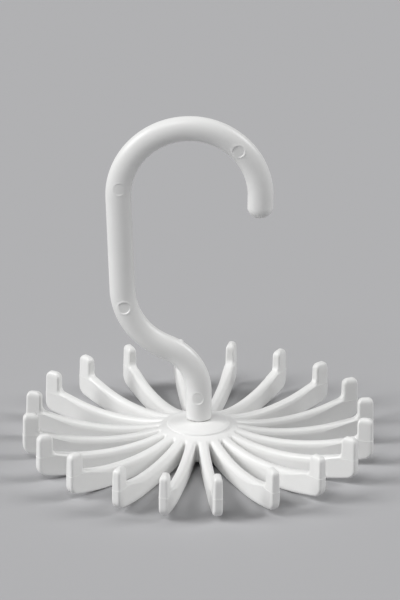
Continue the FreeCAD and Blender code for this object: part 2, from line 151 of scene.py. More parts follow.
def edge_columns(half, edge, steps):
    """Half of a strip with a rounded edge, from its middle to the wall: (across, share of the depth)."""
    across, _, last_turn, _ = edge
    flat = half - across
    columns = [(flat * i / STRIP_STEPS, 0.0) for i in range(STRIP_STEPS)]
    for turn in spread(0, last_turn, steps):
        columns.append((flat + across * math.sin(turn) / math.sin(last_turn),
                        (1 - math.cos(turn)) / (1 - math.cos(last_turn))))
    return columns


def both_sides(columns, place):
    """A strip with its two rounded edges, from the left wall over to the right wall."""
    left = [place(-1, across, share) for across, share in reversed(columns[1:])]
    return left + [place(1, across, share) for across, share in columns]


def sunk(side, edge):
    """A point of an outline, and the point under it where the edge's rounding meets the wall."""
    point, outward = side
    return point, point - outward * edge.y


def claw_ring(top, low, edge, upper=False, fin=0.0):
    """A closed section of a claw: over the top, down the right wall, under, and up the left wall."""
    (top_point, top_wall), (low_point, low_wall) = top, low
    lift = max((top_point.y + low_point.y) / 2 - PARTING_HEIGHT, 0)
    wall = low_wall - top_wall
    upper_half = CLAW_HALF - edge.w - (UPPER_DRAFT * lift if upper else 0)

    def half(below):
        return upper_half if upper else CLAW_HALF + fin - LOWER_DRAFT * below

    def over(side, across, share):
        spot = top_point.lerp(top_wall, share)
        return spot.x, side * across, spot.y

    def under(side, across, share):
        spot = low_point.lerp(low_wall, share)
        return spot.x + fin * (1 - share), side * across, spot.y

    def down(side):
        spots = []
        for share in (PARTING_WIDTH / wall.length,) + WALL_SHARES:
            spot = top_wall.lerp(low_wall, share)
            spots.append((spot.x, side * half(wall.length * share), spot.y))
        return spots

    upper_part = both_sides(edge_columns(upper_half, edge, TOP_STEPS), over)
    lower_part = both_sides(edge_columns(half(wall.length), LOW_EDGE, LOW_STEPS), under)
    return upper_part + down(1) + lower_part[::-1] + down(-1)[::-1]


def crotch_ring(turn):
    """A section across the root of a claw, where its walls curl round into its neighbours' walls."""
    aside = CLAW_STEP / 2
    full_turn = math.pi / 2 - aside
    centre_reach = (CROTCH_RADIUS + CLAW_HALF) / math.sin(aside)
    centre = centre_reach * Vector((math.cos(aside), math.sin(aside)))
    outward = Vector((math.cos(math.pi + aside + turn), math.sin(math.pi + aside + turn)))

    def beside(inset):
        return centre + (CROTCH_RADIUS + inset) * outward

    def spot(side, across, flat):
        if across >= flat:
            point = beside(CLAW_HALF - across)
            return point.x, side * point.y
        corner = beside(CLAW_HALF - flat)
        share = across / flat
        bulge = (1 - turn / full_turn) * (math.hypot(*corner) - corner.x) * (1 - share**2)
        return corner.x + bulge, side * share * corner.y

    top_half = CLAW_HALF - ROOT_EDGE.w
    wall_top = beside(ROOT_EDGE.w)
    top_height = top_side(wall_top.x)[0].y - ROOT_EDGE.y
    wall_drop = top_height - belly_side(wall_top.x)[0].y - LOW_EDGE.y
    low_half = CLAW_HALF - LOWER_DRAFT * wall_drop

    def over(side, across, share):
        x, y = spot(side, across, top_half - ROOT_EDGE.x)
        return x, y, top_side(x)[0].y - ROOT_EDGE.y * share

    def under(side, across, share):
        x, y = spot(side, across, low_half - LOW_EDGE.x)
        return x, y, belly_side(x)[0].y + LOW_EDGE.y * share

    def down(side):
        spots = []
        for share in (PARTING_WIDTH / wall_drop,) + WALL_SHARES:
            point = beside(LOWER_DRAFT * wall_drop * share)
            spots.append((point.x, side * point.y, top_height - wall_drop * share))
        return spots

    upper_part = both_sides(edge_columns(top_half, ROOT_EDGE, TOP_STEPS), over)
    lower_part = both_sides(edge_columns(low_half, LOW_EDGE, LOW_STEPS), under)
    return upper_part + down(1) + lower_part[::-1] + down(-1)[::-1]


def rounded(corners, steps=6):
    """An outline through corners (reach, height, rounding), each corner with a rounding made an arc."""
    outline = []
    for before, here, after in zip(corners, corners[1:], corners[2:]):
        corner = Vector(here[:2])
        if here[2] == 0:
            outline.append(corner)
            continue
        back = (Vector(before[:2]) - corner).normalized()
        ahead = (Vector(after[:2]) - corner).normalized()
        half_angle = back.angle(ahead) / 2
        middle = corner + (back + ahead).normalized() * here[2] / math.sin(half_angle)
        start = corner + back * here[2] / math.tan(half_angle) - middle
        turn = start.angle_signed(corner + ahead * here[2] / math.tan(half_angle) - middle)
        for share in spread(0, 1, steps):
            angle = math.atan2(start.y, start.x) - turn * share
            outline.append(on_circle(middle, here[2], angle)[0])
    return outline


root_rings = [crotch_ring(turn) for turn in spread(0, math.pi / 2 - CLAW_STEP / 2, ROOT_STEPS)]
arm_start = (CROTCH_RADIUS + CLAW_HALF) / math.tan(CLAW_STEP / 2)
arm_rings = []
for reach in spread(arm_start, FAN_START, ARM_STEPS)[1:]:
    edge = arm_edge(reach)
    arm_rings.append(claw_ring(sunk(top_side(reach), edge), sunk(belly_side(reach), LOW_EDGE), edge))

heel_reach = POST_OUTER - HEEL_RADIUS
heel_drop = math.sqrt((BELLY_RADIUS - HEEL_RADIUS) ** 2 - (heel_reach - FOOT_END) ** 2)
heel_centre = Vector((heel_reach, BELLY_RADIUS - heel_drop))
heel_start = math.atan2(-heel_drop, heel_reach - FOOT_END)
heel_first = on_circle(heel_centre, HEEL_RADIUS, heel_start)[0]
fan_lows = [belly_side(reach) for reach in spread(FAN_START, heel_first.x, BELLY_STEPS)[1:]]
heel_angles = spread(heel_start, 0, HEEL_STEPS)[1:]
fan_lows += [on_circle(heel_centre, HEEL_RADIUS, angle) for angle in heel_angles]
below_fin = PARTING_HEIGHT - FIN_CLEAR
fan_lows += [outer_side(height) for height in spread(heel_centre.y, below_fin, OUTER_STEPS)[1:]]
notch_line = NOTCH_CENTRE - TOP_CENTRE
notch_start = math.atan2(notch_line.y, notch_line.x)
notch_first, notch_ray = on_circle(NOTCH_CENTRE, NOTCH_RADIUS, notch_start)
fan_tops = [top_side(reach) for reach in spread(FAN_START, notch_first.x, len(fan_lows))[1:]]
fan_rings = []
for top, low in zip(fan_tops, fan_lows):
    edge = arm_edge(top[0].x)
    fan_rings.append(claw_ring(sunk(top, edge), sunk(low, LOW_EDGE), edge))

notch_foot = notch_first + notch_ray * NOTCH_EDGE.y
arm_way = Vector((-notch_ray.y, notch_ray.x))
post_wall = POST_INNER + POST_EDGE.y
notch_corner = notch_foot + arm_way * (post_wall - notch_foot.x) / arm_way.x
for lift in (-FIN_HALF, FIN_HALF):
    along = arm_way * (lift + FIN_HALF)
    fin_top = (notch_first + along, notch_foot + along)
    fin_low = sunk((Vector((POST_OUTER, PARTING_HEIGHT + lift)), Vector((1, 0))), LOW_EDGE)
    fan_rings.append(claw_ring(fin_top, fin_low, NOTCH_EDGE, fin=FIN_PROUD))
past_fin = FIN_HALF + FIN_CLEAR
notch_walls = rounded([
    (*(notch_foot - arm_way), 0),
    (*(notch_foot + arm_way * past_fin), 0),
    (*notch_foot.lerp(notch_corner, 0.5), 0),
    (*notch_corner, NOTCH_CORNER),
    (post_wall, (notch_corner.y + NOTCH_CENTRE.y) / 2, 0),
    (post_wall, NOTCH_CENTRE.y, 0),
    (post_wall, POST_TOP, 0)], steps=NOTCH_CORNER_STEPS)
notch_steps = len(notch_walls) - 1
notch_angles = spread(notch_start + past_fin / NOTCH_RADIUS, 0, notch_steps)
notch_heights = spread(PARTING_HEIGHT + FIN_CLEAR, NOTCH_CENTRE.y, notch_steps)
notch_rings = []
for step, (wall_point, angle, height) in enumerate(zip(notch_walls, notch_angles, notch_heights)):
    edge = NOTCH_EDGE.lerp(POST_EDGE, step / notch_steps)
    inner = (on_circle(NOTCH_CENTRE, NOTCH_RADIUS, angle)[0], wall_point)
    notch_rings.append(claw_ring(inner, sunk(outer_side(height), LOW_EDGE), edge, upper=True))
post_rings = []
for height in spread(NOTCH_CENTRE.y, POST_TOP - POST_CORNER, POST_STEPS)[1:]:
    inner = (Vector((POST_INNER, height)), Vector((post_wall, height)))
    post_rings.append(claw_ring(inner, sunk(outer_side(height), LOW_EDGE), POST_EDGE, upper=True))


def shrink(ring, lift, reach_share, across_share):
    """A copy of a post's section, drawn in towards its middle and lifted."""
    middle = sum(point[0] for point in ring) / len(ring)
    return [(middle + (x - middle) * reach_share, y * across_share, z + lift) for x, y, z in ring]


cap_rings = []
for turn in spread(0, math.pi / 2, CAP_STEPS)[1:]:
    inward = 1 - math.cos(turn)
    reach_share = 1 - inward * POST_CORNER / (POST_DEPTH / 2)
    across_share = 1 - inward * CAP_ACROSS / CLAW_HALF
    cap_rings.append(shrink(post_rings[-1], POST_CORNER * math.sin(turn), reach_share, across_share))
cap_rings.append(shrink(cap_rings[-1], 0, CAP_MIDDLE_SHARE, CAP_MIDDLE_SHARE))
claw_rings = root_rings + arm_rings + fan_rings + notch_rings + post_rings + cap_rings

# Hub: the domed middle of the same moulding, with a raised disc on top, a hollow underneath and a
# boss with the bore that the hook's peg snaps into. One slice of it carries each claw, and the two
# together are the sector that is repeated round the axis.
HUB_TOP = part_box("hub")[1][2] / MM
LAND_RADIUS = 5.1
DOME_RADIUS = 29.0
SHOULDER_RADIUS = 9.8
SHOULDER_HEIGHT = 11.78
DISC_RADIUS = 11.0
DISC_HEIGHT = 11.25
DISC_FOOT_RADIUS = 11.25
DISC_FOOT_SINK = 0.06
BORE_RADIUS = 3.05
BOSS_RADIUS = 5.65
BOSS_BOTTOM = 5.2
ROOF_INNER_HEIGHT = 10.2
ROOF_OUTER_HEIGHT = 8.3
RIM_INNER_RADIUS = 9.59
RIM_BOTTOM = 2.35
DISC_ROUNDING = 0.14
SHOULDER_ROUNDING = 1.2
LAND_ROUNDING = 0.5
BORE_ROUNDING = 0.25
BOSS_ROUNDING = 0.35
ROOF_ROUNDING = 0.6
RIM_ROUNDING = 0.5
DOME_STEPS = 8


def dome_between(outer, inner, steps):
    """Points of the dome's arc between two points (radius, height), ends left out."""
    outer, inner = Vector(outer), Vector(inner)
    chord = inner - outer
    sag = math.sqrt(DOME_RADIUS**2 - (chord.length / 2) ** 2)
    centre = (outer + inner) / 2 + Vector((-chord.y, chord.x)).normalized() * sag
    angles = [math.atan2(*(point - centre).yx) for point in (outer, inner)]
    return [on_circle(centre, DOME_RADIUS, angle)[0] for angle in spread(*angles, steps)[1:-1]]


shoulder = (SHOULDER_RADIUS, SHOULDER_HEIGHT)
land_edge = (LAND_RADIUS, HUB_TOP)
dome = [(*point, 0) for point in dome_between(shoulder, land_edge, DOME_STEPS)[1:]]
disc_foot = top_side(DISC_FOOT_RADIUS)[0] - Vector((0, DISC_FOOT_SINK))
root_edge = root_rings[0][TOP_STEPS]
root_under = belly_side(root_edge[0])[0]
hub_outline = rounded([
    (math.hypot(*root_edge[:2]), root_edge[2], 0),
    (*disc_foot, DISC_ROUNDING),
    (DISC_RADIUS, DISC_HEIGHT, DISC_ROUNDING),
    (*shoulder, SHOULDER_ROUNDING),
    *dome,
    (*land_edge, LAND_ROUNDING),
    (BORE_RADIUS, HUB_TOP, BORE_ROUNDING),
    (BORE_RADIUS, BOSS_BOTTOM, BORE_ROUNDING),
    (BOSS_RADIUS, BOSS_BOTTOM, BOSS_ROUNDING),
    (BOSS_RADIUS, ROOF_INNER_HEIGHT, ROOF_ROUNDING),
    (RIM_INNER_RADIUS, ROOF_OUTER_HEIGHT, ROOF_ROUNDING),
    (RIM_INNER_RADIUS, RIM_BOTTOM, RIM_ROUNDING),
    (root_under.x, root_under.y, 0)])


def mesh_object(name, points, faces):
    """An object at the origin with a mesh made from points in millimetres."""
    mesh = bpy.data.meshes.new(name)
    mesh.from_pydata([Vector(point) * MM for point in points], [], faces)
    thing = bpy.data.objects.new(name, mesh)
    bpy.context.scene.collection.objects.link(thing)
    return thing


around = len(claw_rings[0])
points = [point for ring in claw_rings for point in ring]
faces = []
for row in range(len(claw_rings) - 1):
    for column in range(around):
        following = (column + 1) % around
        faces.append((row * around + column, row * around + following,
                      (row + 1) * around + following, (row + 1) * around + column))
last = len(points) - around
tip = len(points)
points.append(tuple(sum(c) / around for c in zip(*claw_rings[-1])))
faces += [(last + column, last + (column + 1) % around, tip) for column in range(around)]

strip_columns = 2 * STRIP_STEPS + 1
top_columns = 2 * (STRIP_STEPS + TOP_STEPS) + 1
wall_rows = len(WALL_SHARES) + 1
hub_rows = [[TOP_STEPS + column for column in range(strip_columns)]]
for radius, height in hub_outline:
    hub_rows.append([len(points) + column for column in range(strip_columns)])
    for angle in spread(-CLAW_STEP / 2, CLAW_STEP / 2, strip_columns - 1):
        points.append((radius * math.cos(angle), radius * math.sin(angle), height))
under_last = top_columns + wall_rows + LOW_STEPS + strip_columns - 1
hub_rows.append([under_last - column for column in range(strip_columns)])
for outer_row, inner_row in zip(hub_rows, hub_rows[1:]):
    for column in range(strip_columns - 1):
        following = column + 1
        faces.append((outer_row[column], inner_row[column], inner_row[following], outer_row[following]))
sector = mesh_object("claw_sector", points, faces)

# Wheel: the sector set twenty times round the axis and joined into the one moulding that it is.
# Some claws were bent when the moulding left its tool or lay in its box, and stay so: sideways by a
# turn in degrees, and upwards at the post in millimetres.
BENT_CLAWS = {
    "claw_01": (0.0, 0.4), "claw_02": (0.0, 0.4), "claw_03": (-0.2, 0.0), "claw_04": (-0.35, 0.0),
    "claw_05": (-0.35, 0.0), "claw_07": (0.0, 0.4), "claw_08": (-0.15, 0.65), "claw_09": (-0.2, 0.6),
    "claw_10": (0.0, 0.4), "claw_12": (0.65, 0.0), "claw_13": (1.0, 0.0), "claw_14": (1.9, 0.0),
    "claw_15": (-0.15, 0.0), "claw_16": (-0.7, 0.0), "claw_17": (0.3, 0.15), "claw_18": (0.65, 0.5),
    "claw_19": (1.1, 0.6), "claw_20": (0.6, 0.3)}
BEND_START = 18.0
RISE_START = 36.0
BEND_END = 62.0
JOIN_DISTANCE = 0.008
foot = next(mount for mount in frame["record"]["mounts"] if mount["name"] == "feet")
first_turn = math.atan2(foot["pos_m"][1], foot["pos_m"][0])


def add_node(tree, kind, links=(), **settings):
    """A node with its settings, and links from other nodes' sockets into its named inputs."""
    node = tree.nodes.new(kind)
    for name, value in settings.items():
        setattr(node, name, value)
    for name, source in dict(links).items():
        if isinstance(source, bpy.types.NodeSocket):
            tree.links.new(source, node.inputs[name])
        else:
            node.inputs[name].default_value = source
    return node


def attribute_socket(tree, name):
    """The socket that puts out a value stored on the points under a name."""
    return add_node(tree, "GeometryNodeInputNamedAttribute", {"Name": name}).outputs["Attribute"]


def shape_tree(name, sizes):
    """An empty geometry tree with named inputs: {name: (socket type, value)}."""
    tree = bpy.data.node_groups.new(name, "GeometryNodeTree")
    tree.interface.new_socket("Geometry", in_out="INPUT", socket_type="NodeSocketGeometry")
    for label, (kind, _) in sizes.items():
        tree.interface.new_socket(label, in_out="INPUT", socket_type=kind)
    tree.interface.new_socket("Geometry", in_out="OUTPUT", socket_type="NodeSocketGeometry")
    return tree


def grow(thing, tree, sizes):
    """Runs the tree on the object with its named sizes, and keeps the result as its plain mesh."""
    modifier = thing.modifiers.new("shape", "NODES")
    modifier.node_group = tree
    for item in tree.interface.items_tree:
        if item.in_out == "INPUT" and item.name in sizes:
            modifier[item.identifier] = sizes[item.name][1]
    graph = bpy.context.evaluated_depsgraph_get()
    mesh = bpy.data.meshes.new_from_object(thing.evaluated_get(graph))
    thing.modifiers.remove(modifier)
    thing.data = mesh
    mesh.name = thing.name


def finish_mesh(thing, crease_degrees):
    """Turns the faces outwards, shades them smooth and keeps the creases sharp."""
    work = bmesh.new()
    work.from_mesh(thing.data)
    bmesh.ops.recalc_face_normals(work, faces=work.faces)
    work.to_mesh(thing.data)
    work.free()
    thing.data.shade_smooth()
    thing.data.set_sharp_from_angle(angle=math.radians(crease_degrees))


def value_group(name, inputs, outputs):
    """An empty shader group with named inputs (value, or colour) and outputs."""
    group = bpy.data.node_groups.new(name, "ShaderNodeTree")
    for label, value in inputs.items():
        kind = "NodeSocketFloat" if isinstance(value, (int, float)) else "NodeSocketColor"
        group.interface.new_socket(label, in_out="INPUT", socket_type=kind).default_value = value
    for label, kind in outputs.items():
        group.interface.new_socket(label, in_out="OUTPUT", socket_type=kind)
    return group, group.nodes.new("NodeGroupInput"), group.nodes.new("NodeGroupOutput")


# moulded skin: the fine unevenness that a spark-eroded and polished mould leaves on plastic
moulded_skin, given, out = value_group(
    "moulded_skin",
    {"Ripple Scale": 160.0, "Grain Scale": 2600.0, "Grain Share": 0.3,
     "Gloss Roughness": 0.3, "Dull Roughness": 0.45},
    {"Height": "NodeSocketFloat", "Roughness": "NodeSocketFloat"})
place = moulded_skin.nodes.new("ShaderNodeTexCoord").outputs["Object"]
ripple = add_node(moulded_skin, "ShaderNodeTexNoise", {
    "Vector": place, "Scale": given.outputs["Ripple Scale"], "Detail": 2.0})
grain = add_node(moulded_skin, "ShaderNodeTexNoise", {
    "Vector": place, "Scale": given.outputs["Grain Scale"], "Detail": 2.0})
height = add_node(moulded_skin, "ShaderNodeMix", {
    "Factor": given.outputs["Grain Share"], "A": ripple.outputs["Fac"], "B": grain.outputs["Fac"]})
moulded_skin.links.new(height.outputs["Result"], out.inputs["Height"])
smears = add_node(moulded_skin, "ShaderNodeTexNoise", {
    "Vector": place, "Scale": 70.0, "Detail": 4.0, "Distortion": 0.8})
shine = add_node(moulded_skin, "ShaderNodeMapRange", {
    "Value": smears.outputs["Fac"], "From Min": 0.35, "From Max": 0.65,
    "To Min": given.outputs["Gloss Roughness"], "To Max": given.outputs["Dull Roughness"]})
moulded_skin.links.new(shine.outputs["Result"], out.inputs["Roughness"])

# melt clouds: the faint swirls of tone in white plastic where the melt ran together
melt_clouds, given, out = value_group(
    "melt_clouds",
    {"Clean": (0.8, 0.8, 0.8, 1), "Cloudy": (0.78, 0.78, 0.77, 1), "Cloud Scale": 45.0},
    {"Color": "NodeSocketColor"})
place = melt_clouds.nodes.new("ShaderNodeTexCoord").outputs["Object"]
clouds = add_node(melt_clouds, "ShaderNodeTexNoise", {
    "Vector": place, "Scale": given.outputs["Cloud Scale"], "Detail": 3.0, "Distortion": 1.5})
depth = add_node(melt_clouds, "ShaderNodeMapRange", {
    "Value": clouds.outputs["Fac"], "From Min": 0.35, "From Max": 0.7})
tone = melt_clouds.nodes.new("ShaderNodeMixRGB")
melt_clouds.links.new(depth.outputs["Result"], tone.inputs["Fac"])
melt_clouds.links.new(given.outputs["Clean"], tone.inputs["Color1"])
melt_clouds.links.new(given.outputs["Cloudy"], tone.inputs["Color2"])
melt_clouds.links.new(tone.outputs["Color"], out.inputs["Color"])


PLASTIC_IOR = 1.49


def white_plastic(name, skin_values, cloud_values, bump_mm):
    """A white moulded plastic from the two groups, with its own values."""
    material = bpy.data.materials.new(name)
    material.use_nodes = True
    tree = material.node_tree
    shader = tree.nodes["Principled BSDF"]
    skin = tree.nodes.new("ShaderNodeGroup")
    skin.node_tree = moulded_skin
    clouds = tree.nodes.new("ShaderNodeGroup")
    clouds.node_tree = melt_clouds
    for node, values in ((skin, skin_values), (clouds, cloud_values)):
        for label, value in values.items():
            node.inputs[label].default_value = value
    bump = add_node(tree, "ShaderNodeBump", {
        "Height": skin.outputs["Height"], "Strength": 1.0, "Distance": bump_mm * MM})
    tree.links.new(clouds.outputs["Color"], shader.inputs["Base Color"])
    tree.links.new(skin.outputs["Roughness"], shader.inputs["Roughness"])
    tree.links.new(bump.outputs["Normal"], shader.inputs["Normal"])
    shader.inputs["IOR"].default_value = PLASTIC_IOR
    return material


wheel_white = white_plastic(
    "wheel_white",
    {"Ripple Scale": 170.0, "Grain Scale": 2600.0, "Grain Share": 0.25,
     "Gloss Roughness": 0.32, "Dull Roughness": 0.42},
    {"Clean": (0.86, 0.86, 0.85, 1), "Cloudy": (0.835, 0.835, 0.825, 1), "Cloud Scale": 45.0},
    bump_mm=0.02)

WHEEL_SIZES = {"Claw Sector": ("NodeSocketObject", sector),
               "Bend Start": ("NodeSocketFloat", BEND_START * MM),
               "Rise Start": ("NodeSocketFloat", RISE_START * MM),
               "Bend End": ("NodeSocketFloat", BEND_END * MM),
               "Join Distance": ("NodeSocketFloat", JOIN_DISTANCE * MM),
               "Plastic": ("NodeSocketMaterial", wheel_white)}
wheel_tree = shape_tree("claw_wheel", WHEEL_SIZES)
given = wheel_tree.nodes.new("NodeGroupInput").outputs
turn = attribute_socket(wheel_tree, "turn")
lean = attribute_socket(wheel_tree, "lean")
rise = attribute_socket(wheel_tree, "rise")
sector_shape = add_node(wheel_tree, "GeometryNodeObjectInfo", {"Object": given["Claw Sector"]})
turned = add_node(wheel_tree, "ShaderNodeCombineXYZ", {"Z": turn})
rotation = add_node(wheel_tree, "FunctionNodeEulerToRotation", {"Euler": turned.outputs["Vector"]})
ring = add_node(wheel_tree, "GeometryNodeInstanceOnPoints", {
    "Points": given["Geometry"], "Instance": sector_shape.outputs["Geometry"],
    "Rotation": rotation.outputs["Rotation"]})
real = add_node(wheel_tree, "GeometryNodeRealizeInstances", {"Geometry": ring.outputs["Instances"]})
joined = add_node(wheel_tree, "GeometryNodeMergeByDistance", {
    "Geometry": real.outputs["Geometry"], "Distance": given["Join Distance"]})
spot = wheel_tree.nodes.new("GeometryNodeInputPosition").outputs["Position"]
level = add_node(wheel_tree, "ShaderNodeVectorMath", {0: spot, 1: (1, 1, 0)}, operation="MULTIPLY")
reach = add_node(wheel_tree, "ShaderNodeVectorMath", {0: level.outputs["Vector"]}, operation="LENGTH")
bend = add_node(wheel_tree, "ShaderNodeMapRange", {
    "Value": reach.outputs["Value"], "From Min": given["Bend Start"], "From Max": given["Bend End"],
    "To Min": 0.0, "To Max": lean}, interpolation_type="SMOOTHSTEP")
bent = add_node(wheel_tree, "ShaderNodeVectorRotate", {
    "Vector": spot, "Angle": bend.outputs["Result"]}, rotation_type="Z_AXIS")
rising = add_node(wheel_tree, "ShaderNodeMapRange", {
    "Value": reach.outputs["Value"], "From Min": given["Rise Start"], "From Max": given["Bend End"],
    "To Min": 0.0, "To Max": rise}, interpolation_type="SMOOTHSTEP")
lifted = add_node(wheel_tree, "ShaderNodeCombineXYZ", {"Z": rising.outputs["Result"]})
moved = add_node(wheel_tree, "GeometryNodeSetPosition", {
    "Geometry": joined.outputs["Geometry"], "Position": bent.outputs["Vector"],
    "Offset": lifted.outputs["Vector"]})
coated = add_node(wheel_tree, "GeometryNodeSetMaterial", {
    "Geometry": moved.outputs["Geometry"], "Material": given["Plastic"]})
add_node(wheel_tree, "NodeGroupOutput", {"Geometry": coated.outputs["Geometry"]})

claw_wheel = mesh_object("claw_wheel", [(0, 0, 0)] * len(CLAWS), [])
turns = claw_wheel.data.attributes.new("turn", "FLOAT", "POINT")
leans = claw_wheel.data.attributes.new("lean", "FLOAT", "POINT")
rises = claw_wheel.data.attributes.new("rise", "FLOAT", "POINT")
for index, claw in enumerate(CLAWS):
    sideways, upwards = BENT_CLAWS.get(claw, (0.0, 0.0))
    turns.data[index].value = first_turn + index * CLAW_STEP
    leans.data[index].value = math.radians(sideways)
    rises.data[index].value = upwards * MM
grow(claw_wheel, wheel_tree, WHEEL_SIZES)
finish_mesh(claw_wheel, crease_degrees=21)
bpy.data.objects.remove(sector)
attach(claw_wheel, "wheel")
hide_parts("hub", *CLAWS)

# Hook: one moulding in the same white plastic, an oval rod that sways off the axis, leans up and curls
# over the rail. Ejector pins left four round marks on its front. Under the stem a peg with a barbed,
# slotted head goes through the hub's bore, so that the hook turns but can't come out.
ROD_WIDE = 4.45
ROD_THICK = 3.3
STEM_FOOT = 12.9
STEM_LENGTH = 10.05
SWAY_RADIUS = 18.4
SWAY_TURN = math.radians(68.3)
ELBOW_RADIUS = 24.4
LEG_HEADING = math.radians(92.35)
LEG_LENGTH = 34.15
CROWN_RADIUS = 24.65
CROWN_TURN = math.radians(184)
END_LENGTH = 3.4
TIP_LENGTH = 4.0
STEM_EDGE = 0.4
PEG_RADIUS = 3.0
HEAD_TOP = 4.9
LIP_RADIUS = 4.0
LIP_BOTTOM = 4.2
NOSE_RADIUS = 2.5
NOSE_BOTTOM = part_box("hook")[0][2] / MM
NOSE_ROUNDING = 0.25
LIP_ROUNDING = 0.2
BARB_ROUNDING = 0.12
NECK_ROUNDING = 0.15
PEG_TOP_GAP = 0.004
SLOT_HALF = 0.7
SLOT_TOP = 9.3
SLOT_OVERRUN = 1.0
ELBOW_TURN = math.pi / 2 + SWAY_TURN - LEG_HEADING
ROD_RUNS = {"stem": (STEM_LENGTH, 0.0), "sway": (SWAY_RADIUS * SWAY_TURN, SWAY_TURN),
            "elbow": (ELBOW_RADIUS * ELBOW_TURN, -ELBOW_TURN), "leg": (LEG_LENGTH, 0.0),
            "crown": (CROWN_RADIUS * CROWN_TURN, -CROWN_TURN), "tip": (END_LENGTH + TIP_LENGTH, 0.0)}
ROD_LENGTH = sum(length for length, _ in ROD_RUNS.values())
# each ejector mark: its run, its share of the run, how far aside, and how strongly it shows
MARK_PLACES = (("stem", 0.86, 0.45, 0.6), ("elbow", 0.785, 0.35, 0.95),
               ("crown", 0.053, -0.2, 0.38), ("crown", 0.746, 0.55, 0.7))
MARK_RADIUS = 1.85
MARK_SLOPE = 0.3
MARK_SINK = 0.3
MARK_RIM_RADIUS = 2.35
MARK_RIM_HALF = 0.5
MARK_RIM_HEIGHT = 0.12
MARK_MARGIN = 0.35
MARK_STEP = 0.15
GATE_PLACE = ("sway", 0.845)
GATE_RADIUS = 0.55
GATE_SLOPE = 0.4
GATE_HEIGHT = 0.42
FLASH_SHARE = 0.011
FLASH_TURN = math.radians(1.3)
# how finely the hook is divided: along the rod, round its foot, tip, peg and slot, and round its section
ROD_STEP = 1.0
FOOT_STEPS = 5
TIP_STEPS = 14
PEG_STEPS = 3
SLOT_STEPS = 13
FRONT_COLUMNS = 38
SIDE_COLUMNS = 11
BACK_COLUMNS = 24


def along_rod(distance):
    """The point (x, z) on the rod's middle line at a distance from the stem's foot."""
    place = Vector((0.0, STEM_FOOT))
    heading = math.pi / 2
    for length, turn in ROD_RUNS.values():
        step = min(distance, length)
        swing = turn * step / length
        chord = step if turn == 0 else 2 * length / turn * math.sin(swing / 2)
        place = place + chord * Vector((math.cos(heading + swing / 2), math.sin(heading + swing / 2)))
        heading += swing
        distance -= step
        if distance <= 0:
            break
    return place


def run_start(name):
    """The distance along the rod at which a run starts."""
    names = list(ROD_RUNS)
    return sum(ROD_RUNS[before][0] for before in names[:names.index(name)])


marks = [run_start(run) + share * ROD_RUNS[run][0] for run, share, _, _ in MARK_PLACES]
gate = run_start(GATE_PLACE[0]) + GATE_PLACE[1] * ROD_RUNS[GATE_PLACE[0]][0]
mark_reach = MARK_RIM_RADIUS + MARK_RIM_HALF
gate_reach = GATE_RADIUS + GATE_SLOPE
fine_runs = [(mark - mark_reach, mark + mark_reach) for mark in marks]
fine_runs.append((gate - gate_reach, gate + gate_reach))
stations = []
distance = STEM_EDGE
while distance < ROD_LENGTH - TIP_LENGTH:
    stations.append((distance, 1.0))
    fine = any(first - ROD_STEP <= distance <= last for first, last in fine_runs)
    distance += MARK_STEP if fine else ROD_STEP
foot_stations = [(STEM_EDGE * (1 - math.cos(turn)), 1 - STEM_EDGE / ROD_WIDE * (1 - math.sin(turn)))
                 for turn in spread(0, math.pi / 2, FOOT_STEPS)[:-1]]
tip_stations = [(ROD_LENGTH - TIP_LENGTH * (1 - math.sin(turn)), math.cos(turn))
                for turn in spread(0, math.pi / 2, TIP_STEPS)[:-1]]
peg_outline = rounded([
    (0, NOSE_BOTTOM, 0),
    (NOSE_RADIUS, NOSE_BOTTOM, NOSE_ROUNDING),
    (LIP_RADIUS, LIP_BOTTOM, LIP_ROUNDING),
    (LIP_RADIUS, HEAD_TOP, BARB_ROUNDING),
    (PEG_RADIUS, HEAD_TOP, NECK_ROUNDING),
    (PEG_RADIUS, STEM_FOOT, 0)], steps=PEG_STEPS)
peg_outline.append((PEG_RADIUS, SLOT_TOP + SLOT_HALF))
peg_outline.append((PEG_RADIUS, STEM_FOOT - PEG_TOP_GAP))
route = []
girths = []
flats = []
for radius, height in peg_outline:
    route.append((0, 0, height))
    girths.append(radius)
    flats.append(1.0)
for distance, share in foot_stations + stations + tip_stations:
    place = along_rod(distance)
    route.append((place.x, 0, place.y))
    girths.append(ROD_WIDE * share)
    flats.append(ROD_THICK / ROD_WIDE)
hook = mesh_object("hook_rod", route, [])
hook.data.edges.add(len(route) - 1)
for index, edge in enumerate(hook.data.edges):
    edge.vertices = (index, index + 1)
for label, values in (("girth", girths), ("flatness", flats)):
    attribute = hook.data.attributes.new(label, "FLOAT", "POINT")
    attribute.data.foreach_set("value", [value * MM if label == "girth" else value for value in values])

front_turn = math.asin((mark_reach + MARK_MARGIN) / ROD_WIDE)
front = [(-math.pi / 2 + turn, 1.0) for turn in spread(-front_turn, front_turn, FRONT_COLUMNS)]
right = [(turn, 1.0) for turn in spread(-math.pi / 2 + front_turn, -FLASH_TURN, SIDE_COLUMNS)[1:]]
back = [(turn, 1.0) for turn in spread(FLASH_TURN, math.pi - FLASH_TURN, BACK_COLUMNS)]
left_last = math.pi * 1.5 - front_turn
left = [(turn, 1.0) for turn in spread(math.pi + FLASH_TURN, left_last, SIDE_COLUMNS)[:-1]]
oval = front + right + [(0.0, 1 + FLASH_SHARE)] + back + [(math.pi, 1 + FLASH_SHARE)] + left
oval_points = [(girth * math.cos(turn) / MM, girth * math.sin(turn) / MM, 0) for turn, girth in oval]
section = mesh_object("rod_section", oval_points, [])
section.data.edges.add(len(oval))
for index, edge in enumerate(section.data.edges):
    edge.vertices = (index, (index + 1) % len(oval))
mark_spots = []
for mark, (_, _, aside, _) in zip(marks, MARK_PLACES):
    place = along_rod(mark)
    mark_spots.append((place.x - aside, -ROD_THICK, place.y))
mark_points = mesh_object("mark_points", mark_spots, [])
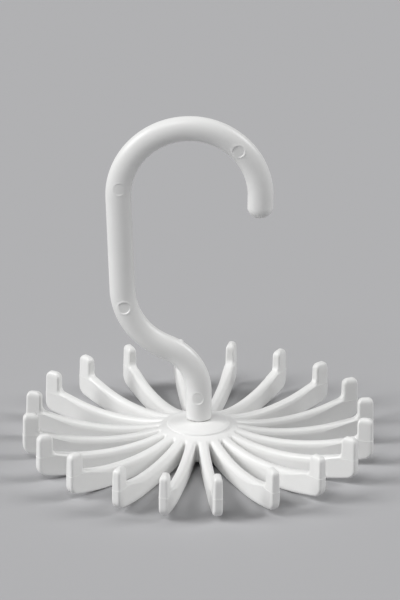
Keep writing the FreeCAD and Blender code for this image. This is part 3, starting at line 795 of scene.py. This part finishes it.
strengths = mark_points.data.attributes.new("strength", "FLOAT", "POINT")
strengths.data.foreach_set("value", [strength for _, _, _, strength in MARK_PLACES])
gate_ahead = (along_rod(gate + MARK_STEP) - along_rod(gate - MARK_STEP)).normalized()
gate_way = Vector((gate_ahead.y, 0, -gate_ahead.x))
gate_middle = along_rod(gate)
gate_spot = Vector((gate_middle.x, 0, gate_middle.y)) + gate_way * ROD_WIDE
gate_point = mesh_object("gate_point", [gate_spot], [])

hook_white = white_plastic(
    "hook_white",
    {"Ripple Scale": 140.0, "Grain Scale": 2400.0, "Grain Share": 0.25,
     "Gloss Roughness": 0.3, "Dull Roughness": 0.4},
    {"Clean": (0.86, 0.86, 0.85, 1), "Cloudy": (0.84, 0.84, 0.83, 1), "Cloud Scale": 38.0},
    bump_mm=0.02)

HOOK_SIZES = {"Rod Section": ("NodeSocketObject", section),
              "Mark Points": ("NodeSocketObject", mark_points),
              "Mark Radius": ("NodeSocketFloat", MARK_RADIUS * MM),
              "Mark Slope": ("NodeSocketFloat", MARK_SLOPE * MM),
              "Mark Level": ("NodeSocketFloat", (MARK_SINK - ROD_THICK) * MM),
              "Rim Radius": ("NodeSocketFloat", MARK_RIM_RADIUS * MM),
              "Rim Half": ("NodeSocketFloat", MARK_RIM_HALF * MM),
              "Rim Height": ("NodeSocketFloat", MARK_RIM_HEIGHT * MM),
              "Gate Point": ("NodeSocketObject", gate_point),
              "Gate Radius": ("NodeSocketFloat", GATE_RADIUS * MM),
              "Gate Slope": ("NodeSocketFloat", GATE_SLOPE * MM),
              "Gate Rise": ("NodeSocketVector", gate_way * GATE_HEIGHT * MM),
              "Plastic": ("NodeSocketMaterial", hook_white)}
hook_tree = shape_tree("hook_rod", HOOK_SIZES)
given = hook_tree.nodes.new("NodeGroupInput").outputs


def sums(operation, first, second=0.0):
    """A Math node of the hook's tree, as its result socket."""
    node = add_node(hook_tree, "ShaderNodeMath", {0: first, 1: second}, operation=operation)
    return node.outputs["Value"]


girth = attribute_socket(hook_tree, "girth")
flatness = attribute_socket(hook_tree, "flatness")
line = add_node(hook_tree, "GeometryNodeMeshToCurve", {"Mesh": given["Geometry"]})
section_shape = add_node(hook_tree, "GeometryNodeObjectInfo", {"Object": given["Rod Section"]})
oval_line = add_node(hook_tree, "GeometryNodeMeshToCurve", {"Mesh": section_shape.outputs["Geometry"]})
swept = add_node(hook_tree, "GeometryNodeCurveToMesh", {
    "Curve": line.outputs["Curve"], "Profile Curve": oval_line.outputs["Curve"],
    "Scale": girth, "Fill Caps": True})
spot = hook_tree.nodes.new("GeometryNodeInputPosition").outputs["Position"]
parts = add_node(hook_tree, "ShaderNodeSeparateXYZ", {"Vector": spot}).outputs
squeezed = add_node(hook_tree, "ShaderNodeCombineXYZ", {
    "X": parts["X"], "Y": sums("MULTIPLY", parts["Y"], flatness), "Z": parts["Z"]})
flat_rod = add_node(hook_tree, "GeometryNodeSetPosition", {
    "Geometry": swept.outputs["Mesh"], "Position": squeezed.outputs["Vector"]})
mark_shape = add_node(hook_tree, "GeometryNodeObjectInfo", {"Object": given["Mark Points"]})
flattened = add_node(hook_tree, "ShaderNodeCombineXYZ", {
    "X": parts["X"], "Y": -ROD_THICK * MM, "Z": parts["Z"]})
near = add_node(hook_tree, "GeometryNodeProximity", {
    "Geometry": mark_shape.outputs["Geometry"],
    "Sample Position": flattened.outputs["Vector"]}, target_element="POINTS")
away = near.outputs["Distance"]
front_face = sums("LESS_THAN", parts["Y"], 0.0)
inside = add_node(hook_tree, "ShaderNodeMapRange", {
    "Value": away, "From Min": sums("ADD", given["Mark Radius"], given["Mark Slope"]),
    "From Max": given["Mark Radius"], "To Min": 0.0, "To Max": 1.0}, interpolation_type="SMOOTHSTEP")
rim_share = sums("DIVIDE", sums("SUBTRACT", away, given["Rim Radius"]), given["Rim Half"])
rim_round = sums("MAXIMUM", sums("SUBTRACT", 1.0, sums("MULTIPLY", rim_share, rim_share)), 0.0)
rim_lift = sums("MULTIPLY", sums("MULTIPLY", rim_round, rim_round), given["Rim Height"])
dished = sums("MULTIPLY", inside.outputs["Result"], sums("SUBTRACT", given["Mark Level"], parts["Y"]))
nearest = add_node(hook_tree, "GeometryNodeSampleNearest", {
    "Geometry": mark_shape.outputs["Geometry"], "Sample Position": flattened.outputs["Vector"]})
mark_strength = add_node(hook_tree, "GeometryNodeSampleIndex", {
    "Geometry": mark_shape.outputs["Geometry"], "Value": attribute_socket(hook_tree, "strength"),
    "Index": nearest.outputs["Index"]})
shown = sums("MULTIPLY", front_face, mark_strength.outputs["Value"])
push = sums("MULTIPLY", shown, sums("SUBTRACT", dished, rim_lift))
shift = add_node(hook_tree, "ShaderNodeCombineXYZ", {"Y": push})
marked = add_node(hook_tree, "GeometryNodeSetPosition", {
    "Geometry": flat_rod.outputs["Geometry"], "Offset": shift.outputs["Vector"]})
gate_shape = add_node(hook_tree, "GeometryNodeObjectInfo", {"Object": given["Gate Point"]})
gate_near = add_node(hook_tree, "GeometryNodeProximity", {
    "Geometry": gate_shape.outputs["Geometry"], "Sample Position": spot}, target_element="POINTS")
on_gate = add_node(hook_tree, "ShaderNodeMapRange", {
    "Value": gate_near.outputs["Distance"],
    "From Min": sums("ADD", given["Gate Radius"], given["Gate Slope"]),
    "From Max": given["Gate Radius"], "To Min": 0.0, "To Max": 1.0}, interpolation_type="SMOOTHSTEP")
gate_lift = add_node(hook_tree, "ShaderNodeVectorMath", {
    0: given["Gate Rise"], "Scale": on_gate.outputs["Result"]}, operation="SCALE")
gated = add_node(hook_tree, "GeometryNodeSetPosition", {
    "Geometry": marked.outputs["Geometry"], "Offset": gate_lift.outputs["Vector"]})
real = add_node(hook_tree, "GeometryNodeRealizeInstances", {"Geometry": gated.outputs["Geometry"]})
coated = add_node(hook_tree, "GeometryNodeSetMaterial", {
    "Geometry": real.outputs["Geometry"], "Material": given["Plastic"]})
add_node(hook_tree, "NodeGroupOutput", {"Geometry": coated.outputs["Geometry"]})
grow(hook, hook_tree, HOOK_SIZES)
bpy.data.objects.remove(section)
bpy.data.objects.remove(mark_points)
bpy.data.objects.remove(gate_point)

slot_bottom = NOSE_BOTTOM - SLOT_OVERRUN
slot_reach = 2 * PEG_RADIUS
slot_centre = Vector((0, SLOT_TOP - SLOT_HALF))
slot_outline = [(-SLOT_HALF, slot_bottom), (SLOT_HALF, slot_bottom)]
slot_outline += [on_circle(slot_centre, SLOT_HALF, angle)[0] for angle in spread(0, math.pi, SLOT_STEPS)]
slot_points = [(x, side * slot_reach, z) for side in (-1, 1) for x, z in slot_outline]
count = len(slot_outline)
slot_faces = [list(range(count))[::-1], list(range(count, 2 * count))]
slot_faces += [(i, (i + 1) % count, count + (i + 1) % count, count + i) for i in range(count)]
slot_cutter = mesh_object("slot_cutter", slot_points, slot_faces)
finish_mesh(slot_cutter, crease_degrees=30)
finish_mesh(hook, crease_degrees=40)
cut = hook.modifiers.new("slot", "BOOLEAN")
cut.object = slot_cutter
cut.operation = "DIFFERENCE"
cut.solver = "EXACT"
slotted = bpy.data.meshes.new_from_object(hook.evaluated_get(bpy.context.evaluated_depsgraph_get()))
hook.modifiers.remove(cut)
hook.data = slotted
slotted.name = hook.name
bpy.data.objects.remove(slot_cutter)
finish_mesh(hook, crease_degrees=40)
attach(hook, "hook")
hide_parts("hook")

# Stage: a plain pale matt floor in a room of the same grey, and wide soft lamps on the left, on the
# right and in front, as white goods are lit so that their rounds still show.
FLOOR_HALF = 30000.0
FLOOR_COLOUR = (0.46, 0.46, 0.47, 1)
FLOOR_ROUGHNESS = 0.9
FLOOR_GLOSS = 0.1
floor_corners = [(x * FLOOR_HALF, y * FLOOR_HALF, 0) for x, y in ((-1, -1), (1, -1), (1, 1), (-1, 1))]
floor = mesh_object("floor", floor_corners, [(0, 1, 2, 3)])
floor_paint = bpy.data.materials.new("floor_paint")
floor_paint.use_nodes = True
floor_shader = floor_paint.node_tree.nodes["Principled BSDF"]
floor_shader.inputs["Base Color"].default_value = FLOOR_COLOUR
floor_shader.inputs["Roughness"].default_value = FLOOR_ROUGHNESS
floor_shader.inputs["Specular IOR Level"].default_value = FLOOR_GLOSS
floor.data.materials.append(floor_paint)

BACKDROP_COLOUR = (0.475, 0.475, 0.4845, 1)
ROOM_COLOUR = (0.8, 0.81, 0.83, 1)
ROOM_LIGHT = 0.05
world = bpy.data.worlds.new("room")
world.use_nodes = True
room = world.node_tree
room_light = room.nodes["Background"]
room_light.inputs["Color"].default_value = ROOM_COLOUR
room_light.inputs["Strength"].default_value = ROOM_LIGHT
backdrop = add_node(room, "ShaderNodeBackground", {"Color": BACKDROP_COLOUR, "Strength": 1.0})
ray = room.nodes.new("ShaderNodeLightPath").outputs
seen_or_mirrored = add_node(room, "ShaderNodeMath", {
    0: ray["Is Camera Ray"], 1: ray["Is Glossy Ray"]}, operation="MAXIMUM")
shows = add_node(room, "ShaderNodeMath", {
    0: seen_or_mirrored.outputs["Value"], 1: ray["Is Transmission Ray"]}, operation="MAXIMUM")
both = add_node(room, "ShaderNodeMixShader", {
    0: shows.outputs["Value"], 1: room_light.outputs["Background"], 2: backdrop.outputs["Background"]})
room.links.new(both.outputs["Shader"], room.nodes["World Output"].inputs["Surface"])
bpy.context.scene.world = world

LAMP_SPREAD = math.radians(28)
# each lamp: degrees round from the front towards the left, degrees up, and strength
LAMPS = {"left": (75, 34, 2.3), "right": (-90, 37, 1.53), "front": (25, 55, 0.78)}
for name, (degrees_round, degrees_up, strength) in LAMPS.items():
    turn = math.radians(degrees_round)
    rise = math.radians(degrees_up)
    way = Vector((-math.cos(rise) * math.sin(turn), -math.cos(rise) * math.cos(turn), math.sin(rise)))
    lamp = bpy.data.lights.new(name, "SUN")
    lamp.angle = LAMP_SPREAD
    lamp.energy = strength
    lamp_stand = bpy.data.objects.new(name, lamp)
    lamp_stand.rotation_euler = way.to_track_quat("Z", "Y").to_euler()
    bpy.context.scene.collection.objects.link(lamp_stand)

# Camera: placed where the photograph was taken from, with a long lens about 1.7 m away that looks down
# on the wheel and rolls a little to one side.
CAMERA_DISTANCE = 1670.0
CAMERA_RISE = math.radians(23.44)
CAMERA_ROLL = math.radians(0.375)
AIM = Vector((0.17, 0.0, 57.8)) * MM
LENS = 284.1
SENSOR_WIDTH = 36.0
level_distance = CAMERA_DISTANCE * math.cos(CAMERA_RISE)
camera_height = POST_TOP + CAMERA_DISTANCE * math.sin(CAMERA_RISE)
stand = Vector((0, -level_distance, camera_height)) * MM
camera_data = bpy.data.cameras.new("camera")
camera_data.lens = LENS
camera_data.sensor_width = SENSOR_WIDTH
camera = bpy.data.objects.new("camera", camera_data)
look = (AIM - stand).to_track_quat("-Z", "Y").to_matrix().to_4x4()
camera.matrix_world = Matrix.Translation(stand) @ look @ Matrix.Rotation(CAMERA_ROLL, 4, "Z")
bpy.context.scene.collection.objects.link(camera)
bpy.context.scene.camera = camera
bpy.context.scene.view_settings.view_transform = "Standard"
